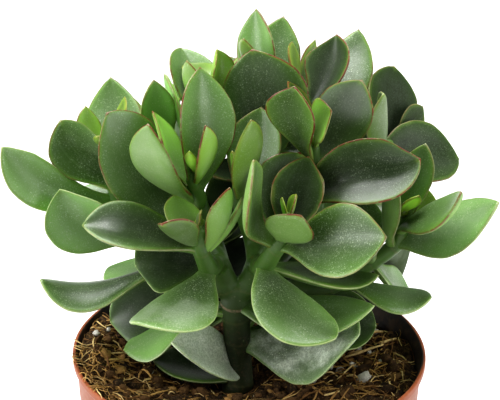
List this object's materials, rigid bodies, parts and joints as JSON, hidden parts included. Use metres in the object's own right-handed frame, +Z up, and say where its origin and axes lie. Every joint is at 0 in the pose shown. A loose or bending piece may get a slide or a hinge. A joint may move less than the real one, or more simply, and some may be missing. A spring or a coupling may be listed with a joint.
{
  "type": "potted jade plant",
  "caption": "Branching jade plant with fleshy obovate leaves in opposite pairs, standing in a round tapered nursery pot of peat and coir soil.",
  "frame": {"origin": "centre of the pot's underside, on the surface it stands on", "axes": "+Z up along the pot's axis, -Y towards the viewer of the picture, +X to the viewer's right"},
  "size_m": [0.1627, 0.1406, 0.2012],
  "materials": {
    "pot": "satin terracotta-coloured injection-moulded plastic",
    "soil": "rough, loose peat and coir fibre with white perlite",
    "stem": "smooth green fleshy stem with pale leaf scars",
    "leaf": "waxy satin succulent leaf with fine pale speckles and thin pale or red-brown margins",
    "leaf_young": "waxy satin young leaf, yellow-green with orange-red margins"
  },
  "bodies": {
    "root": {"pot": "pot", "soil": "soil", "plant_stem": "stem", "trunk_leaves_1": "leaf", "trunk_leaves_2": "leaf", "trunk_leaves_3": "leaf", "trunk_leaves_4": "leaf", "front_left_leaves_1": "leaf", "front_left_leaves_2": "leaf", "front_left_leaves_3": "leaf", "front_left_tip": "leaf_young", "front_right_leaves_1": "leaf", "front_right_leaves_2": "leaf", "front_right_leaves_3": "leaf", "front_right_tip": "leaf_young", "centre_leaves_1": "leaf", "centre_leaves_2": "leaf", "centre_tip": "leaf_young", "mid_left_leaves_1": "leaf", "mid_left_leaves_2": "leaf", "mid_left_leaves_3": "leaf", "mid_left_tip": "leaf_young", "far_left_leaves_1": "leaf", "far_left_leaves_2": "leaf", "far_left_leaves_3": "leaf", "far_left_leaves_4": "leaf", "far_left_tip": "leaf_young", "upper_left_leaves_1": "leaf", "upper_left_leaves_2": "leaf", "upper_left_tip": "leaf_young", "top_leaves_1": "leaf", "top_leaves_2": "leaf", "top_tip": "leaf_young", "rear_top_leaves_1": "leaf", "rear_top_tip": "leaf_young", "mid_right_leaves_1": "leaf", "mid_right_leaves_2": "leaf", "mid_right_tip": "leaf_young", "rear_right_leaves_1": "leaf", "rear_right_leaves_2": "leaf", "rear_right_tip": "leaf_young", "far_right_leaves_1": "leaf", "far_right_leaves_2": "leaf", "far_right_leaves_3": "leaf", "far_right_leaves_4": "leaf", "far_right_tip": "leaf_young", "back_left_leaves_1": "leaf", "back_left_leaves_2": "leaf", "back_left_leaves_3": "leaf", "back_left_tip": "leaf_young", "back_right_leaves_1": "leaf", "back_right_leaves_2": "leaf", "back_right_leaves_3": "leaf", "back_right_tip": "leaf_young", "back_centre_leaves_2": "leaf", "back_centre_tip": "leaf_young"}
  },
  "joints": []
}
